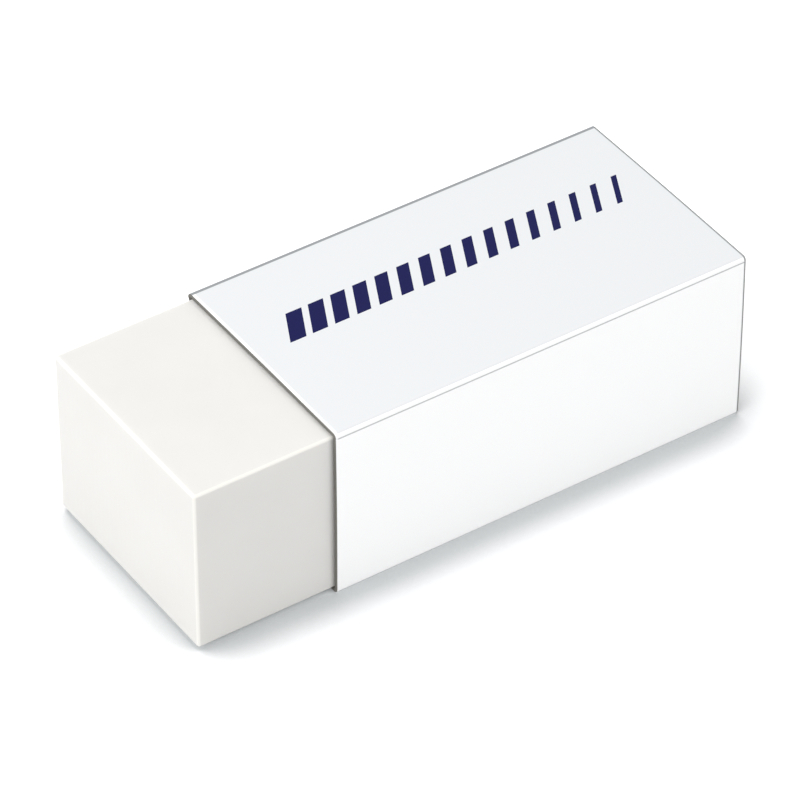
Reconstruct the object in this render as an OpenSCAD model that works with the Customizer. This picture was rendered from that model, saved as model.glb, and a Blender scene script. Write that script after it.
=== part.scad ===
// Block eraser in a folded card sleeve
// The block is pushed on through the sleeve as its end wears down.
// X runs along the block, with the end that rubs at -X, and Z is up. Sizes are in millimetres.
// The origin is under the middle of the whole part, on the surface that the sleeve lies on.

/* [Block] */
// Length of the new block
block_l = 43; // [30:0.5:70]
// Width of the block
block_w = 17; // [12:0.1:30]
// Height of the block
block_h = 13; // [10:0.1:20]
// Radius of the block's edges and corners
block_r = 0.25; // [0.1:0.05:2]

/* [Sleeve] */
// Thickness of the card
card_t = 0.25; // [0.2:0.05:0.6]
// Inside radius of the four folds
fold_r = 0.05; // [0.03:0.01:0.2]
// Gap between the block and the card, all round
slide_gap = 0.05; // [0.03:0.01:0.2]
// Length of the block that stands out of the sleeve's mouth
block_out = 10.5; // [4:0.5:15]
// How deep the block's other end sits inside the sleeve
end_depth = 0.3; // [0:0.1:2]

/* [Seam] */
// Height of the glue flap, down from the inside of the top panel
glue_flap_h = 9; // [5:0.5:9.5]
// How far each end of the glue flap is cut back at its free edge
glue_flap_taper = 1.5; // [0.5:0.1:3]
// Drop from the top of the sleeve to the free edge of the outer flap
seam_drop = 1.2; // [0.8:0.1:3]

/* [Hidden] */
$fn = 64;

// The space inside the sleeve, and the sleeve's own length and height
inner_w = block_w + 2 * slide_gap;
inner_h = block_h + 2 * slide_gap;
sleeve_h = inner_h + 2 * card_t;
whole_l = block_l + end_depth;
sleeve_l = whole_l - block_out;

// Places along the length
rub_end_x = -whole_l / 2;
mouth_x = rub_end_x + block_out;

// The seam adds a layer of card at the back, so the block's middle lies half a layer to the front
mid_y = -card_t / 2;

// Centres of the folds, across from the block's middle and up from the surface
front_y = fold_r - inner_w / 2;
back_y = inner_w / 2 - fold_r;
outer_y = back_y + card_t;
low_z = card_t + fold_r;
high_z = sleeve_h - card_t - fold_r;

// A box with every edge rounded to a cylinder and every corner to a sphere, all meeting on flat faces
module rounded_box(size, r) {
    core = [for (s = size) s - 2 * r];
    cube([size.x, core.y, core.z], center = true);
    cube([core.x, size.y, core.z], center = true);
    cube([core.x, core.y, size.z], center = true);
    for (a = [0, 1], b = [0, 1], c = [0, 1])
        mirror([a, 0, 0])
            mirror([0, b, 0])
                mirror([0, 0, c])
                    rounded_corner(core / 2, r);
}

// One corner of the box, with half of each of the three edges that run into it
module rounded_corner(at, r) {
    translate(at)
        intersection() {
            sphere(r);
            cube(r);
        }
    translate([0, at.y, at.z])
        rotate([90, 0, 90])
            quarter_round(at.x, r);
    translate([at.x, 0, at.z])
        rotate([0, -90, -90])
            quarter_round(at.y, r);
    translate([at.x, at.y, 0])
        quarter_round(at.z, r);
}

// A quarter of a rod, along Z
module quarter_round(l, r) {
    intersection() {
        cylinder(h = l, r = r);
        cube([r, r, l]);
    }
}

// A quarter turn of card in the section, in the quadrant that starts at the angle given
module fold(at, angle) {
    translate(at)
        rotate(angle)
            intersection() {
                difference() {
                    circle(fold_r + card_t);
                    circle(fold_r);
                }
                square(fold_r + card_t);
            }
}

// A flat stretch of card in the section, from one corner to the other
module panel(low, high) {
    translate(low)
        square(high - low);
}

// The sheet from the top of the glue flap, over the top, down the front, under and up the back
module wrap_section() {
    fold([back_y, high_z], 0);
    panel([front_y, sleeve_h - card_t], [back_y, sleeve_h]);
    fold([front_y, high_z], 90);
    panel([-inner_w / 2 - card_t, low_z], [-inner_w / 2, high_z]);
    fold([front_y, low_z], 180);
    panel([front_y, 0], [outer_y, card_t]);
    fold([outer_y, low_z], 270);
    panel([inner_w / 2 + card_t, low_z], [inner_w / 2 + 2 * card_t, sleeve_h - seam_drop]);
}

// The flap inside the seam, seen from the back, with its ends cut back so that they stay hidden
module glue_flap_outline() {
    free_z = sleeve_h - card_t - glue_flap_h;
    polygon([
        [0, high_z],
        [glue_flap_taper, free_z],
        [sleeve_l - glue_flap_taper, free_z],
        [sleeve_l, high_z]
    ]);
}

module eraser_block() {
    color("whitesmoke")
        translate([rub_end_x + block_l / 2, mid_y, sleeve_h / 2])
            rounded_box([block_l, block_w, block_h], block_r);
}

module card_sleeve() {
    color("ghostwhite")
        translate([mouth_x, mid_y, 0]) {
            rotate([90, 0, 90])
                linear_extrude(sleeve_l)
                    wrap_section();
            translate([0, inner_w / 2 + card_t, 0])
                rotate([90, 0, 0])
                    linear_extrude(card_t)
                        glue_flap_outline();
        }
}

eraser_block();
card_sleeve();
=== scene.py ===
import bmesh
import bpy
import math
from itertools import product
from mathutils import Matrix, Vector, noise


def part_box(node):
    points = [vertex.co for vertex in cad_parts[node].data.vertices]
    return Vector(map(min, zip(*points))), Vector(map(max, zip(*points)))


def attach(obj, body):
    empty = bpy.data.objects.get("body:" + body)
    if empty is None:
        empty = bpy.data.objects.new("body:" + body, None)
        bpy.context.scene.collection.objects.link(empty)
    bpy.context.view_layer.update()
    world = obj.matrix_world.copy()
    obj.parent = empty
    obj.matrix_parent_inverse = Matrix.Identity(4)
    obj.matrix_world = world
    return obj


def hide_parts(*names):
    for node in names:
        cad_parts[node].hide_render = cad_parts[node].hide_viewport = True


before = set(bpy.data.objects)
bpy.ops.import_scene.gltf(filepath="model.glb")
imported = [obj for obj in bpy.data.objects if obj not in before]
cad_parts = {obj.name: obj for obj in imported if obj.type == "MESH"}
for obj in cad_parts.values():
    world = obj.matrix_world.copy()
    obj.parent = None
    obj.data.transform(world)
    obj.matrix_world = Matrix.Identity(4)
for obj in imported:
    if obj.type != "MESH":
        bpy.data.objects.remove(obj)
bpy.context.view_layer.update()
scene = bpy.context.scene
mm = 0.001
tiny = 1e-7      # m, far less than any step between points
print("frame loaded:", ", ".join(sorted(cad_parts)))


def linear(hexColour):
    # sRGB hex to the linear values that shaders take
    parts = [int(hexColour[i:i + 2], 16) / 255 for i in (1, 3, 5)]
    return tuple(c / 12.92 if c <= 0.04045 else ((c + 0.055) / 1.055) ** 2.4 for c in parts) + (1,)


def addNode(tree, kind, inputs=None, **settings):
    # an input is either a fixed value or another node's output
    node = tree.nodes.new(kind)
    for name, value in settings.items():
        setattr(node, name, value)
    for name, value in (inputs or {}).items():
        if isinstance(value, bpy.types.NodeSocket):
            tree.links.new(value, node.inputs[name])
        else:
            node.inputs[name].default_value = value
    return node


def newMaterial(name):
    material = bpy.data.materials.new(name)
    material.use_nodes = True
    material.node_tree.nodes.clear()
    return material, material.node_tree


def newObject(name, bm, materials):
    mesh = bpy.data.meshes.new(name)
    bm.to_mesh(mesh)
    bm.free()
    for material in materials:
        mesh.materials.append(material)
    obj = bpy.data.objects.new(name, mesh)
    scene.collection.objects.link(obj)
    return obj


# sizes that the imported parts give
blockLow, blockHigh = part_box("eraser_block")
sleeveLow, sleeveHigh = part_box("card_sleeve")
blockSize = blockHigh - blockLow
sleeveSize = sleeveHigh - sleeveLow
# the seam side has one layer of card more than the other three
cardThick = (sleeveSize.y - blockSize.y) - (sleeveSize.z - blockSize.z)
slideGap = (sleeveSize.z - blockSize.z) / 2 - cardThick
midY = (blockLow.y + blockHigh.y) / 2
print("card %.2f mm, gap %.2f mm" % (cardThick / mm, slideGap / mm))


# Filled vinyl, extruded and cut to length: chalky and a little warm, light goes a short way in,
# and soft bright lines on the rounded edges come from its satin sheen and a paler colour painted there as
# highlight.
vinyl = {
    "colour": "#dcdbd8",
    "cloudy": "#d7d5d2",
    "edge": "#ebe9e3",       # painted highlight: a paler colour along the rounded edges
    "cloudSize": 5.0,        # mm
    "roughness": 0.50,
    "ior": 1.45,
    "scatterShare": 0.3,
    "scatterDepth": 0.8,     # mm that light travels inside
    "scatterTint": (1.0, 0.95, 0.85),    # red goes furthest
    "grain": 0.30,           # mm, drawn coarser than the real 0.05 mm so that it shows
    "grainDepth": 0.02,      # mm
    "grainStrength": 0.25,
    "dragSpacing": 0.55,     # mm between the blade's marks on the cut ends, drawn coarser too
    "dragDepth": 0.002,      # mm
    "dragWander": 2.5,       # how much the marks stray from straight
}


def vinylMaterial(look):
    material, tree = newMaterial("extruded_white_vinyl")
    place = addNode(tree, "ShaderNodeTexCoord").outputs["Object"]
    cloud = addNode(tree, "ShaderNodeTexNoise",
                    {"Vector": place, "Scale": 1 / (look["cloudSize"] * mm), "Detail": 3.0})
    colour = addNode(tree, "ShaderNodeMix",
                     {"Factor": cloud.outputs["Fac"], "A": linear(look["colour"]),
                      "B": linear(look["cloudy"])}, data_type="RGBA")
    # paler along the edges: a painted highlight
    edge = addNode(tree, "ShaderNodeAttribute", attribute_name="edge")
    edgeHighlight = addNode(tree, "ShaderNodeMix",
                    {"Factor": edge.outputs["Fac"], "A": colour.outputs["Result"],
                     "B": linear(look["edge"])}, data_type="RGBA")
    grain = addNode(tree, "ShaderNodeTexNoise",
                    {"Vector": place, "Scale": 1 / (look["grain"] * mm), "Detail": 4.0})
    skin = addNode(tree, "ShaderNodeBump",
                   {"Height": grain.outputs["Fac"], "Strength": look["grainStrength"],
                    "Distance": look["grainDepth"] * mm})
    # at a scale of 1 the wave texture repeats every tau / 20
    drag = addNode(tree, "ShaderNodeTexWave",
                   {"Vector": place, "Scale": math.tau / 20 / (look["dragSpacing"] * mm),
                    "Distortion": look["dragWander"], "Detail": 2.0, "Detail Scale": 1.5},
                   bands_direction="Y", wave_profile="SIN")
    cutEnd = addNode(tree, "ShaderNodeAttribute", attribute_name="cutEnd")
    cut = addNode(tree, "ShaderNodeBump",
                  {"Height": drag.outputs["Fac"], "Strength": cutEnd.outputs["Fac"],
                   "Distance": look["dragDepth"] * mm, "Normal": skin.outputs["Normal"]})
    shader = addNode(tree, "ShaderNodeBsdfPrincipled",
                     {"Base Color": edgeHighlight.outputs["Result"], "Normal": cut.outputs["Normal"],
                      "IOR": look["ior"], "Roughness": look["roughness"],
                      "Subsurface Weight": look["scatterShare"],
                      "Subsurface Scale": look["scatterDepth"] * mm,
                      "Subsurface Radius": look["scatterTint"]})
    addNode(tree, "ShaderNodeOutputMaterial", {"Surface": shader.outputs["BSDF"]})
    return material


# Coated board, printed, scored and folded: smooth and bright with a soft sheen, a pale cool tint
# on top, and fine grey lines of painted shade along the folds, the scores and the far cut edge.
card = {
    "white": "#fbfbfb",
    "tint": "#d8dadc",
    # the grey of the painted shade along folds, scores and the far cut edge
    "crease": "#8e9193",
    "roughness": (0.41, 0.51),   # lowest and highest, over the board's unevenness
    "ior": 1.42,
    "fibre": 0.9,                # mm, the soft unevenness of the board under its coating
    "fibreDepth": 0.02,          # mm
    "fibreStrength": 0.12,
}


def cardMaterial(look):
    material, tree = newMaterial("coated_card")
    place = addNode(tree, "ShaderNodeTexCoord").outputs["Object"]
    tinted = addNode(tree, "ShaderNodeAttribute", attribute_name="tint").outputs["Fac"]
    shadeAmount = addNode(tree, "ShaderNodeAttribute", attribute_name="crease").outputs["Fac"]
    paper = addNode(tree, "ShaderNodeMix",
                    {"Factor": tinted, "A": linear(look["white"]), "B": linear(look["tint"])},
                    data_type="RGBA")
    # grey lines of painted shade
    shadedPaper = addNode(tree, "ShaderNodeMix",
                   {"Factor": shadeAmount, "A": paper.outputs["Result"], "B": linear(look["crease"])},
                   data_type="RGBA")
    fibre = addNode(tree, "ShaderNodeTexNoise",
                    {"Vector": place, "Scale": 1 / (look["fibre"] * mm), "Detail": 5.0})
    bump = addNode(tree, "ShaderNodeBump",
                   {"Height": fibre.outputs["Fac"], "Strength": look["fibreStrength"],
                    "Distance": look["fibreDepth"] * mm})
    lowest, highest = look["roughness"]
    sheen = addNode(tree, "ShaderNodeMapRange",
                    {"Value": fibre.outputs["Fac"], "To Min": lowest, "To Max": highest})
    shader = addNode(tree, "ShaderNodeBsdfPrincipled",
                     {"Base Color": shadedPaper.outputs["Result"], "Roughness": sheen.outputs["Result"],
                      "Normal": bump.outputs["Normal"], "IOR": look["ior"]})
    addNode(tree, "ShaderNodeOutputMaterial", {"Surface": shader.outputs["BSDF"]})
    return material


# Offset ink on that coating: a thin even film, deep blue and nearly matt.
ink = {
    "full": "#0d0f42",
    "thin": "#13154e",
    "speckle": 0.25,         # mm, drawn coarser than the real print dots so that it shows
    "roughness": 0.48,
    "ior": 1.20,             # under the usual 1.5, because this ink hardly shines
}


def inkMaterial(look):
    material, tree = newMaterial("offset_blue_ink")
    place = addNode(tree, "ShaderNodeTexCoord").outputs["Object"]
    speckle = addNode(tree, "ShaderNodeTexNoise",
                      {"Vector": place, "Scale": 1 / (look["speckle"] * mm), "Detail": 3.0})
    film = addNode(tree, "ShaderNodeMix",
                   {"Factor": speckle.outputs["Fac"], "A": linear(look["full"]),
                    "B": linear(look["thin"])}, data_type="RGBA")
    shader = addNode(tree, "ShaderNodeBsdfPrincipled",
                     {"Base Color": film.outputs["Result"], "Roughness": look["roughness"],
                      "IOR": look["ior"]})
    addNode(tree, "ShaderNodeOutputMaterial", {"Surface": shader.outputs["BSDF"]})
    return material


# Raw grey board, as cut and inside: matt pressed pulp with short fibres.
board = {
    "pale": "#7c7a75",
    "dark": "#615f5a",
    "fibreWide": 0.06,       # mm
    "fibreLong": 0.50,       # mm
    "fibreDepth": 0.02,      # mm
    "fibreStrength": 0.4,
    "roughness": 0.95,
    "ior": 1.45,
}


def boardMaterial(look):
    material, tree = newMaterial("raw_grey_board")
    place = addNode(tree, "ShaderNodeTexCoord").outputs["Object"]
    along = 1 / (look["fibreLong"] * mm)
    across = 1 / (look["fibreWide"] * mm)
    drawn = addNode(tree, "ShaderNodeMapping", {"Vector": place, "Scale": (along, across, across)})
    fibre = addNode(tree, "ShaderNodeTexNoise",
                    {"Vector": drawn.outputs["Vector"], "Scale": 1.0, "Detail": 4.0})
    colour = addNode(tree, "ShaderNodeMix",
                     {"Factor": fibre.outputs["Fac"], "A": linear(look["dark"]),
                      "B": linear(look["pale"])}, data_type="RGBA")
    bump = addNode(tree, "ShaderNodeBump",
                   {"Height": fibre.outputs["Fac"], "Strength": look["fibreStrength"],
                    "Distance": look["fibreDepth"] * mm})
    shader = addNode(tree, "ShaderNodeBsdfPrincipled",
                     {"Base Color": colour.outputs["Result"], "Normal": bump.outputs["Normal"],
                      "Roughness": look["roughness"], "IOR": look["ior"]})
    addNode(tree, "ShaderNodeOutputMaterial", {"Surface": shader.outputs["BSDF"]})
    return material


# Eraser block: a grid over the box, every point pulled onto the rounded edges
block = {
    "edge": 0.25,            # mm radius of the edges
    "arcSteps": 5,           # from a flat to the middle of an edge
    "cell": 0.9,             # mm between points on the flats
    "support": 0.1,          # mm from an edge to a row of points that keeps the flats' shading flat
    "sink": 0.030,           # mm that the faces wander inwards
    "sinkSize": 7.0,         # mm
    "highlightGain": 12.0,        # how soon the painted highlight comes in on the way round an edge
}


def axisStations(half, form):
    # where the grid's points lie along one axis, before they are pulled onto the edges
    radius = form["edge"] * mm
    flat = half - radius
    steps = form["arcSteps"]
    arc = [radius * math.tan(math.pi / 4 * k / steps) for k in range(1, steps + 1)]
    count = max(2, round(2 * flat / (form["cell"] * mm)))
    middle = [flat * (2 * k / count - 1) for k in range(1, count)]
    support = flat - form["support"] * mm
    return ([-flat - rise for rise in reversed(arc)] + [-flat, -support] + middle
            + [support, flat] + [flat + rise for rise in arc])


def blockMesh(form):
    half = blockSize / 2
    centre = (blockLow + blockHigh) / 2
    radius = form["edge"] * mm
    stations = [axisStations(h, form) for h in half]
    last = [len(one) - 1 for one in stations]
    bm = bmesh.new()
    cutEnd = bm.faces.layers.float.new("cutEnd")
    edge = bm.verts.layers.float.new("edge")
    found = {}

    def vertex(key):
        # one point for each place on the grid, shared by the faces round it
        if key not in found:
            flat = Vector([stations[i][key[i]] for i in range(3)])
            core = Vector([max(radius - half[i], min(half[i] - radius, flat[i])) for i in range(3)])
            out = (flat - core).normalized()
            place = centre + core + out * radius
            wander = noise.noise(place / (form["sinkSize"] * mm)) * 0.5 + 0.5    # from 0 to 1
            found[key] = bm.verts.new(place - out * wander * form["sink"] * mm)
            # how far round the edge the painted highlight has come
            found[key][edge] = min(1.0, (1 - max(abs(c) for c in out)) * form["highlightGain"])
        return found[key]

    for axis in range(3):
        u, v = (axis + 1) % 3, (axis + 2) % 3
        for end, i, j in product((0, last[axis]), range(last[u]), range(last[v])):
            corners = []
            for across, up in ((i, j), (i + 1, j), (i + 1, j + 1), (i, j + 1)):
                key = [0, 0, 0]
                key[axis], key[u], key[v] = end, across, up
                corners.append(vertex(tuple(key)))
            face = bm.faces.new(corners if end else corners[::-1])
            face.smooth = True
            face[cutEnd] = float(axis == 0)
    return bm


# Sleeve: one sheet, walked round the section from the glue flap to the outer flap
sleeve = {
    "foldRadius": 0.05,      # mm inside
    "foldSteps": 8,
    "glueFlap": 9.0,         # mm down from the inside of the top
    "glueTaper": 1.5,        # mm cut back at each end of its free edge
    "seamDrop": 1.2,         # mm from the top to the outer flap's edge
    "glue": 0.012,           # mm of glue between the two flaps
    "bow": 0.05,             # mm that the top and the plain side stand out at their middle
    "cell": 1.0,             # mm between points on the panels
    "barClear": 0.2,         # mm that those points keep from the bars' ends
    "score": 0.020,          # mm deep line pressed beside a fold
    "scoreWide": 0.17,       # mm
    "scoreSupport": 1.7,     # score widths from a fold to a row that keeps the shading flat
    "scoreMargin": 2,        # score widths from a fold to the first of the panel's points
    "backGrey": 1.0,         # how dark the painted shade is on the score at the back of the top
    "frontGrey": 0.90,       # at its front
    "seamGrey": 0.3,         # under the seam
    "greyOver": 2,           # fold steps at the back that the painted shade runs on over
    "tintOver": 3,           # fold steps at the front that the tint runs on over
    "highlightRim": 0.32,             # mm of card along the mouth left untinted as a painted highlight, and free of painted shade
    "cutRound": 0.09,        # mm, softening of the cut edges
    "cutSteps": 2,
    "cutShade": 0.05,         # mm of painted shade along the far cut edge
}

# Bars that lean and thin out along the top
bars = {
    "count": 16,
    "first": -8.4,           # mm along the part
    "pitch": 1.75,           # mm
    "widest": 1.25,          # mm, the first bar
    "narrowest": 0.45,       # mm, the last bar
    "low": 0.45,             # mm across the part
    "high": 3.15,            # mm across the part
    "lean": 0.50,            # mm for each mm of height
}


def barSpans():
    # where each bar starts and ends along the top, before it leans
    spans = []
    for k in range(bars["count"]):
        width = bars["widest"] + (bars["narrowest"] - bars["widest"]) * k / (bars["count"] - 1)
        left = bars["first"] + bars["pitch"] * k
        spans.append((left * mm, (left + width) * mm))
    return spans


def sheetPath(form):
    # stations on the inside of the sheet, from the free edge inside to the free edge outside
    radius = form["foldRadius"] * mm
    scoreWide = form["scoreWide"] * mm
    halfWide = blockSize.y / 2 + slideGap
    top = sleeveHigh.z - cardThick
    low, high = cardThick + radius, top - radius
    front, back = midY - halfWide + radius, midY + halfWide - radius
    outer = back + cardThick + form["glue"] * mm
    path = []

    def station(at, normal, panel, **marks):
        plain = {"crease": 0.0, "groove": 0.0, "bow": 0.0, "inset": 0.0, "taper": 0.0, "tint": False}
        path.append({"at": at, "normal": normal, "panel": panel, **plain, **marks})

    def endPlaces(grey=0.0, foldGrey=0.0, cut=False):
        # what the sheet does at each distance in from the end of a panel
        if cut:
            soft = form["cutRound"] * mm
            turns = [math.pi / 2 * k / form["cutSteps"] for k in range(form["cutSteps"] + 1)]
            return {soft - soft * math.cos(turn): {"inset": soft - soft * math.sin(turn)} for turn in turns}
        groove = form["score"] * mm if grey else 0.0
        # painted shade on the score's groove, and at the back on the fold
        return {0.0: {"crease": foldGrey}, scoreWide / 2: {"crease": grey, "groove": groove},
                scoreWide: {}, form["scoreSupport"] * scoreWide: {}}

    def panel(name, start, end, normal, firstEnd, lastEnd, bow=0.0, extra=()):
        # a flat stretch: its two ends, even steps between them and the extra rows that are asked for
        start, end, normal = Vector(start), Vector(end), Vector(normal)
        length = (end - start).length
        places = endPlaces(**firstEnd)
        places.update({length - inward: marks for inward, marks in endPlaces(**lastEnd).items()})
        margin = form["scoreMargin"] * scoreWide
        count = max(2, round((length - 2 * margin) / (form["cell"] * mm)))
        even = [margin + (length - 2 * margin) * k / count for k in range(count + 1)]
        clear = form["barClear"] * mm
        places.update({along: {} for along in even if all(abs(along - one) > clear for one in extra)})
        places.update({along: {} for along in extra})
        for along in sorted(places):
            share = along / length
            station(start.lerp(end, share), normal, name, bow=bow * math.sin(math.pi * share),
                    tint=name == "top", **places[along])

    def fold(centre, fromAngle, greySteps=0, tintSteps=0):
        # a quarter turn from one panel to the next
        for k in range(1, form["foldSteps"]):
            angle = math.radians(fromAngle + 90 * k / form["foldSteps"])
            normal = Vector((math.cos(angle), math.sin(angle)))
            # painted shade on the last steps of the back fold
            station(Vector(centre) + normal * radius, normal, "fold", tint=k <= tintSteps,
                    crease=float(k >= form["foldSteps"] - greySteps))

    bow = form["bow"] * mm
    freeEdge = {"cut": True}
    plainFold = {}
    backFold = {"grey": form["backGrey"], "foldGrey": form["backGrey"]}
    frontFold = {"grey": form["frontGrey"]}
    seamFold = {"grey": form["seamGrey"]}
    panel("glue", (back + radius, top - form["glueFlap"] * mm), (back + radius, high), (1, 0),
          freeEdge, plainFold)
    for one in path:         # the glue flap narrows towards its free edge
        one["taper"] = (high - one["at"].y) / (high - path[0]["at"].y)
    fold((back, high), 0, greySteps=form["greyOver"])
    panel("top", (back, top), (front, top), (0, 1), backFold, plainFold, bow,
          extra=(back - bars["high"] * mm, back - bars["low"] * mm))
    fold((front, high), 90, tintSteps=form["tintOver"])
    panel("front", (front - radius, high), (front - radius, low), (-1, 0), frontFold, plainFold, bow)
    fold((front, low), 180)
    panel("bottom", (front, cardThick), (outer, cardThick), (0, -1), plainFold, seamFold)
    fold((outer, low), 270)
    panel("seam", (outer + radius, low), (outer + radius, sleeveHigh.z - form["seamDrop"] * mm), (1, 0),
          seamFold, freeEdge)
    return path


def lengthStations(form):
    # along the sleeve and over its rounded cut edges: each station's x and how far it lies in from
    # the card's face, and what each strip between two stations is
    soft = form["cutRound"] * mm
    cutShadeWide = form["cutShade"] * mm
    start, end = sleeveLow.x + soft, sleeveHigh.x - soft
    highlightRimEnd = sleeveLow.x + form["highlightRim"] * mm
    spans = barSpans()
    fixed = [start, start + cutShadeWide, highlightRimEnd, end - 2 * cutShadeWide, end - cutShadeWide, end]
    fixed = sorted(fixed + [x for span in spans for x in span])
    xs = []
    for left, right in zip(fixed, fixed[1:]):
        count = max(1, round((right - left) / (form["cell"] * mm)))
        xs += [left + (right - left) * k / count for k in range(count)]
    xs.append(end)

    strips = []
    for left, right in zip(xs, xs[1:]):
        if any(first < (left + right) / 2 < last for first, last in spans):
            strips.append("bar")
        # the strip along the mouth stays untinted: a painted highlight
        elif left < highlightRimEnd - tiny:
            strips.append("highlightRim")
        else:
            strips.append("plain")

    turns = [math.pi / 2 * k / form["cutSteps"] for k in range(1, form["cutSteps"] + 1)]
    across = [(start - soft * math.sin(turn), soft - soft * math.cos(turn)) for turn in reversed(turns)]
    across += [(x, 0.0) for x in xs]
    across += [(end + soft * math.sin(turn), soft - soft * math.cos(turn)) for turn in turns]
    cutStrips = ["cut"] * form["cutSteps"]
    return across, cutStrips + strips + cutStrips


def leanShift(x, y, form):
    # how far a station on the top moves along the sleeve, so that the bars lean
    low, high = bars["low"] * mm, bars["high"] * mm
    back = blockHigh.y
    if y <= low or y >= back:
        return 0.0
    rise = y - low if y < high else (high - low) * (back - y) / (back - high)
    start = sleeveLow.x + form["highlightRim"] * mm
    end = sleeveHigh.x - (form["cutRound"] + 2 * form["cutShade"]) * mm
    spans = barSpans()
    first, last = spans[0][0], spans[-1][1]
    inFromEnds = min((x - start) / (first - start), (end - x) / (end - last))
    return bars["lean"] * rise * max(0.0, min(1.0, inFromEnds))


def sheetPoints(bm, path, across, form):
    # for each station on the path a row of points outside the card and one inside
    crease = bm.verts.layers.float["crease"]
    soft = form["cutRound"] * mm
    middle = (sleeveLow.x + sleeveHigh.x) / 2
    highlightRimEnd = sleeveLow.x + form["highlightRim"] * mm
    cutShadeStart = sleeveHigh.x - soft - form["cutShade"] * mm
    rows = []
    for one in path:
        squeeze = 1 - one["taper"] * form["glueTaper"] * mm / (sleeveSize.x / 2 - soft)
        outer, inner = [], []
        for x, cut in across:
            along = middle + (x - middle) * squeeze
            if one["panel"] == "top":
                along += leanShift(along, one["at"].x, form)
            sunk = max(cut, one["inset"])
            groove = 0.0 if cut else one["groove"]
            for row, rise in ((outer, cardThick - sunk - groove), (inner, sunk)):
                at = one["at"] + one["normal"] * (rise + one["bow"])
                row.append(bm.verts.new((along, at.x, at.y)))
            outer[-1][crease] = one["crease"]
            # a grey line of painted shade along the far cut edge
            if x > cutShadeStart - tiny:
                outer[-1][crease] = 1.0
            # no painted shade on the front beside the mouth's painted highlight
            elif one["panel"] == "front" and x < highlightRimEnd - tiny:
                outer[-1][crease] = 0.0
        rows.append((outer, inner))
    return rows


def sheetFaces(bm, path, rows, strips):
    tint = bm.faces.layers.float["tint"]
    coated, printed, raw = 0, 1, 2       # the order of the sleeve's materials

    def quad(corners, slot, smooth=True):
        face = bm.faces.new(corners)
        face.material_index = slot
        face.smooth = smooth
        return face

    for i in range(len(path) - 1):
        here, after = path[i], path[i + 1]
        outer, inner = rows[i]
        nextOuter, nextInner = rows[i + 1]
        y = (here["at"].x + after["at"].x) / 2
        onTop = here["panel"] == "top" and after["panel"] == "top"
        inBand = onTop and bars["low"] * mm < y < bars["high"] * mm
        tinted = here["tint"] and after["tint"]
        for j, strip in enumerate(strips):
            slot = raw if strip == "cut" else coated
            if inBand and strip == "bar":
                slot = printed
            face = quad((outer[j], outer[j + 1], nextOuter[j + 1], nextOuter[j]), slot)
            face[tint] = float(tinted and strip in ("bar", "plain"))
        for j in range(len(strips)):
            quad((nextInner[j], nextInner[j + 1], inner[j + 1], inner[j]), raw)
        quad((outer[0], nextOuter[0], nextInner[0], inner[0]), raw, smooth=False)
        quad((inner[-1], nextInner[-1], nextOuter[-1], outer[-1]), raw, smooth=False)

    # the sheet's two free edges
    firstOuter, firstInner = rows[0]
    lastOuter, lastInner = rows[-1]
    for j in range(len(strips)):
        quad((firstInner[j], firstInner[j + 1], firstOuter[j + 1], firstOuter[j]), raw, smooth=False)
        quad((lastOuter[j], lastOuter[j + 1], lastInner[j + 1], lastInner[j]), raw, smooth=False)


def sleeveMesh(form):
    path = sheetPath(form)
    across, strips = lengthStations(form)
    bm = bmesh.new()
    bm.verts.layers.float.new("crease")
    bm.faces.layers.float.new("tint")
    rows = sheetPoints(bm, path, across, form)
    sheetFaces(bm, path, rows, strips)
    bmesh.ops.recalc_face_normals(bm, faces=bm.faces)
    print("sleeve sheet:", len(path), "stations round,", len(across), "along")
    return bm


vinylSkin = vinylMaterial(vinyl)
cardSkin = cardMaterial(card)
inkFilm = inkMaterial(ink)
boardCore = boardMaterial(board)
print("materials made")

blockPiece = newObject("rubbing_block", blockMesh(block), [vinylSkin])
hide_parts("eraser_block")
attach(blockPiece, "block")
print("block:", len(blockPiece.data.polygons), "faces")

sleevePiece = newObject("folded_sleeve", sleeveMesh(sleeve), [cardSkin, inkFilm, boardCore])
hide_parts("card_sleeve")
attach(sleevePiece, "sleeve")
print("sleeve:", len(sleevePiece.data.polygons), "faces")


# Studio: white sweep, a broad soft lamp to the left and behind, a fill in front
studio = {
    "ambient": 0.70,                     # what the white air gives to surfaces
    "floorSize": 2.4,                    # m
    "floorDrop": 0.01,                   # mm under the part
    "floorColour": "#e6e7e8",
    # the floor near the part, by how open it is there to the light
    "floorShade": {0.0: "#939698", 0.20: "#c8cbcc", 0.36: "#a1a4a5", 0.46: "#a1a4a5", 0.56: "#b1b3b4",
                   0.66: "#c3c4c5", 0.76: "#cfd0d1", 0.95: "#e6e7e8"},
    "floorLift": 0.45,                   # seen directly only, brings the bare floor to white
    "shadeReach": 4.6,                   # mm
    "shadeFrom": (-0.04, 0.24, 0.97),    # leans back, so that the shade falls to the front
    "shadeSamples": 8,
    # distances and sizes in m
    "lamps": {
        "key": {"from": (-0.62, 0.20, 0.76), "distance": 0.34, "size": 0.50, "level": 0.62},
        "fill": {"from": (0.40, -0.66, 0.63), "distance": 0.40, "size": 0.16, "level": 0.17},
    },
}


def seenDirectly(tree):
    # 1 for what the eye sees, straight or in gloss or through clear parts
    path = addNode(tree, "ShaderNodeLightPath").outputs
    either = addNode(tree, "ShaderNodeMath", {0: path["Is Camera Ray"], 1: path["Is Glossy Ray"]},
                     operation="MAXIMUM")
    return addNode(tree, "ShaderNodeMath", {0: either.outputs[0], 1: path["Is Transmission Ray"]},
                   operation="MAXIMUM").outputs[0]


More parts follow.
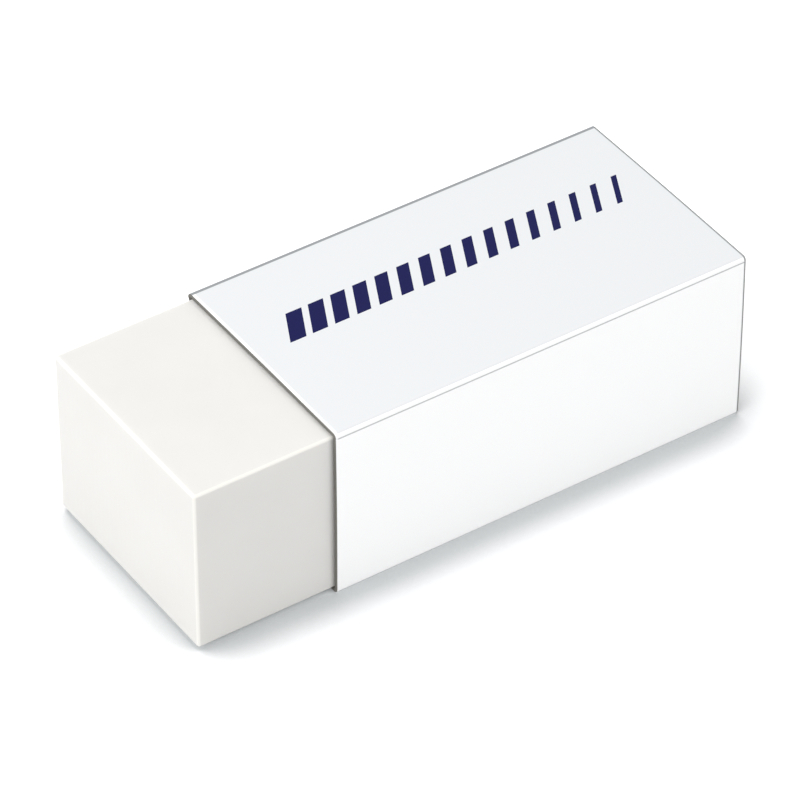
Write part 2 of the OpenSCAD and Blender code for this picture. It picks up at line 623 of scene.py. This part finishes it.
def buildAir(setup):
    world = bpy.data.worlds.new("studio_air")
    world.use_nodes = True
    tree = world.node_tree
    tree.nodes.clear()
    strength = addNode(tree, "ShaderNodeMapRange",
                       {"Value": seenDirectly(tree), "To Min": setup["ambient"], "To Max": 1.0})
    air = addNode(tree, "ShaderNodeBackground",
                  {"Color": (1, 1, 1, 1), "Strength": strength.outputs["Result"]})
    addNode(tree, "ShaderNodeOutputWorld", {"Surface": air.outputs["Background"]})
    scene.world = world


# Matt white paper: it takes a soft grey shade close to the part and is plain white further off.
def sweepMaterial(setup):
    material, tree = newMaterial("paper_sweep")
    x, y, z = setup["shadeFrom"]
    toward = addNode(tree, "ShaderNodeCombineXYZ", {"X": x, "Y": y, "Z": z})
    openness = addNode(tree, "ShaderNodeAmbientOcclusion",
                       {"Distance": setup["shadeReach"] * mm, "Normal": toward.outputs["Vector"]},
                       samples=setup["shadeSamples"])
    shade = addNode(tree, "ShaderNodeValToRGB", {"Fac": openness.outputs["AO"]})
    stops = shade.color_ramp.elements    # starts with one stop at each end, and both go
    stops.remove(stops[0])
    for place, colour in setup["floorShade"].items():
        stops.new(place).color = linear(colour)
    stops.remove(stops[-1])
    sheet = addNode(tree, "ShaderNodeBsdfDiffuse", {"Color": shade.outputs["Color"]})
    lift = addNode(tree, "ShaderNodeEmission",
                   {"Color": shade.outputs["Color"], "Strength": setup["floorLift"]})
    seen = addNode(tree, "ShaderNodeAddShader", {0: sheet.outputs["BSDF"], 1: lift.outputs["Emission"]})
    plain = addNode(tree, "ShaderNodeBsdfDiffuse", {"Color": linear(setup["floorColour"])})
    either = addNode(tree, "ShaderNodeMixShader",
                     {0: seenDirectly(tree), 1: plain.outputs["BSDF"], 2: seen.outputs["Shader"]})
    addNode(tree, "ShaderNodeOutputMaterial", {"Surface": either.outputs["Shader"]})
    return material


def squareMesh(size):
    bm = bmesh.new()
    corners = ((-1, -1), (1, -1), (1, 1), (-1, 1))
    bm.faces.new([bm.verts.new((x * size / 2, y * size / 2, 0)) for x, y in corners])
    return bm


def buildFloor(setup):
    floor = newObject("floor", squareMesh(setup["floorSize"]), [sweepMaterial(setup)])
    floor.location.z = -setup["floorDrop"] * mm


def buildLamps(setup):
    for name, lamp in setup["lamps"].items():
        data = bpy.data.lights.new(name, "AREA")
        data.shape = "DISK"
        data.size = lamp["size"]
        # a lamp's energy for the level that it brings a facing white card to
        data.energy = lamp["level"] * math.pi ** 2 * (lamp["distance"] ** 2 + (lamp["size"] / 2) ** 2)
        out = Vector(lamp["from"]).normalized()
        light = bpy.data.objects.new(name, data)
        light.location = out * lamp["distance"]
        light.rotation_euler = out.to_track_quat("Z", "Y").to_euler()
        scene.collection.objects.link(light)


# Camera: a long lens, high to the left of the plain side
viewpoint = {
    "azimuth": -34.0,            # degrees from straight on to the plain side
    "elevation": 40.1,           # degrees
    "distance": 365.0,           # mm
    "aim": (1.35, 2.15, 3.00),   # mm
    "lens": 243.7,               # mm
    "frameWide": 36,             # mm
    "near": 0.01,                # m
    "far": 20,                   # m
}


def buildCamera(setup):
    turn, rise = math.radians(setup["azimuth"]), math.radians(setup["elevation"])
    back = Vector((math.sin(turn) * math.cos(rise), -math.cos(turn) * math.cos(rise), math.sin(rise)))
    right = Vector((math.cos(turn), math.sin(turn), 0))
    facing = Matrix((right, back.cross(right), back)).transposed()
    place = (Vector(setup["aim"]) + back * setup["distance"]) * mm
    data = bpy.data.cameras.new("camera")
    data.lens = setup["lens"]
    data.sensor_width = setup["frameWide"]
    data.clip_start = setup["near"]
    data.clip_end = setup["far"]
    camera = bpy.data.objects.new("camera", data)
    camera.matrix_world = Matrix.Translation(place) @ facing.to_4x4()
    scene.collection.objects.link(camera)
    scene.camera = camera


buildAir(studio)
buildFloor(studio)
buildLamps(studio)
buildCamera(viewpoint)
scene.view_settings.view_transform = "Standard"
print("studio and camera set")
